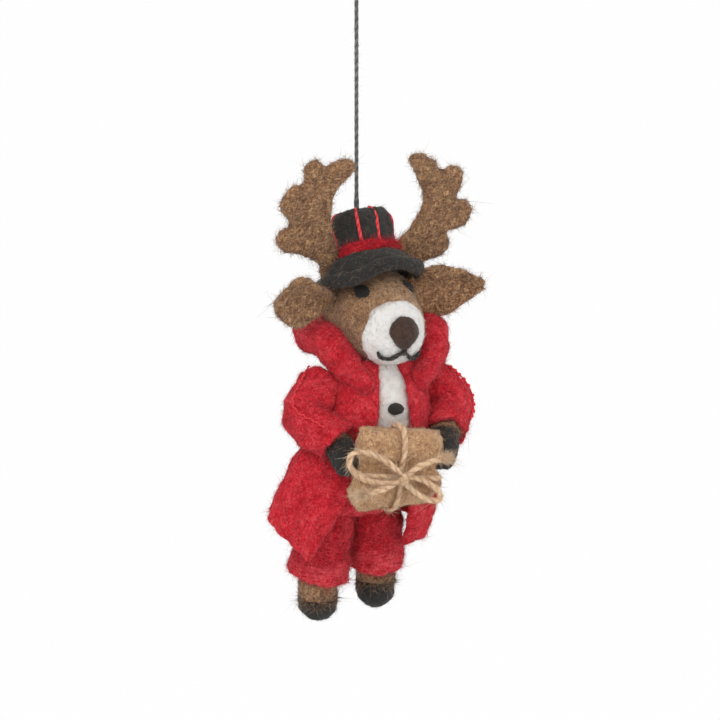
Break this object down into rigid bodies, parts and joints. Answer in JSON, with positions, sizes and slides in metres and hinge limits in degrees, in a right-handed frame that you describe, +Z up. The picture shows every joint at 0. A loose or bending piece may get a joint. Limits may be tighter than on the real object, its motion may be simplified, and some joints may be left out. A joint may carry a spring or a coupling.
{
  "type": "felt christmas ornament",
  "caption": "Needle-felted reindeer in a felt coat, trousers and top hat, holding a tied parcel and hanging on a twisted cord with a knotted eye.",
  "frame": {"origin": "inside top of the hanging eye, where the ornament bears on its hook", "axes": "+Z up along the hanging cord, the figure faces -Y, and its left hand is on +X"},
  "size_m": [0.0749, 0.0561, 0.215],
  "materials": {
    "brown_wool": "needle-felted brown wool with lighter and darker fibres",
    "brown_felt": "thick brown sheet felt with lighter and darker fibres",
    "black_wool": "needle-felted black wool",
    "white_wool": "needle-felted white wool",
    "nose_wool": "needle-felted dark brown wool",
    "red_felt": "soft brushed red wool felt",
    "red_thread": "matt red embroidery thread",
    "tan_felt": "soft tan wool felt",
    "jute_twine": "twisted natural jute with loose fibres",
    "cotton_cord": "twisted dark grey cotton cord"
  },
  "bodies": {
    "hanger_eye": {"hanger_eye": "cotton_cord"},
    "eye_knot": {"eye_knot": "cotton_cord"},
    "hanger_cord": {"hanger_cord": "cotton_cord", "anchor_knot": "cotton_cord"},
    "figure": {"head": "brown_wool", "muzzle_patch": "white_wool", "nose": "nose_wool", "mouth_line": "black_wool", "eye_right": "black_wool", "eye_left": "black_wool", "ear_right": "brown_felt", "ear_left": "brown_felt", "antler_right": "brown_felt", "antler_left": "brown_felt", "hat_crown": "black_wool", "hat_brim": "black_wool", "hat_band": "red_felt", "hat_stripe_1": "red_thread", "hat_stripe_2": "red_thread", "hat_stripe_3": "red_thread", "hat_stripe_4": "red_thread", "hat_stripe_5": "red_thread", "hat_stripe_6": "red_thread", "hat_stripe_7": "red_thread", "torso": "white_wool", "shirt_button": "black_wool", "coat_back": "red_felt", "coat_front_right": "red_felt", "coat_front_left": "red_felt", "coat_collar": "red_felt", "trouser_seat": "red_felt", "sleeve_right": "red_felt", "sleeve_thread_right": "red_thread", "arm_right": "brown_wool", "front_hoof_right": "black_wool", "trouser_leg_right": "red_felt", "leg_right": "brown_wool", "rear_hoof_right": "black_wool", "sleeve_left": "red_felt", "sleeve_thread_left": "red_thread", "arm_left": "brown_wool", "front_hoof_left": "black_wool", "trouser_leg_left": "red_felt", "leg_left": "brown_wool", "rear_hoof_left": "black_wool", "parcel": "tan_felt", "twine_wrap": "jute_twine", "twine_bow": "jute_twine"}
  },
  "joints": [
    {"name": "swing_forward", "type": "hinge", "parent": "hanger_eye", "child": "eye_knot", "pos_m": [0, 0, -0.015], "axis": [1, 0, 0], "range_deg": [-35, 35]},
    {"name": "swing_sideways", "type": "hinge", "parent": "eye_knot", "child": "hanger_cord", "pos_m": [0, 0, -0.015], "axis": [0, 1, 0], "range_deg": [-35, 35]},
    {"name": "spin", "type": "hinge", "parent": "hanger_cord", "child": "figure", "pos_m": [0, 0, -0.0855], "axis": [0, 0, 1], "range_deg": [-180, 180]}
  ]
}
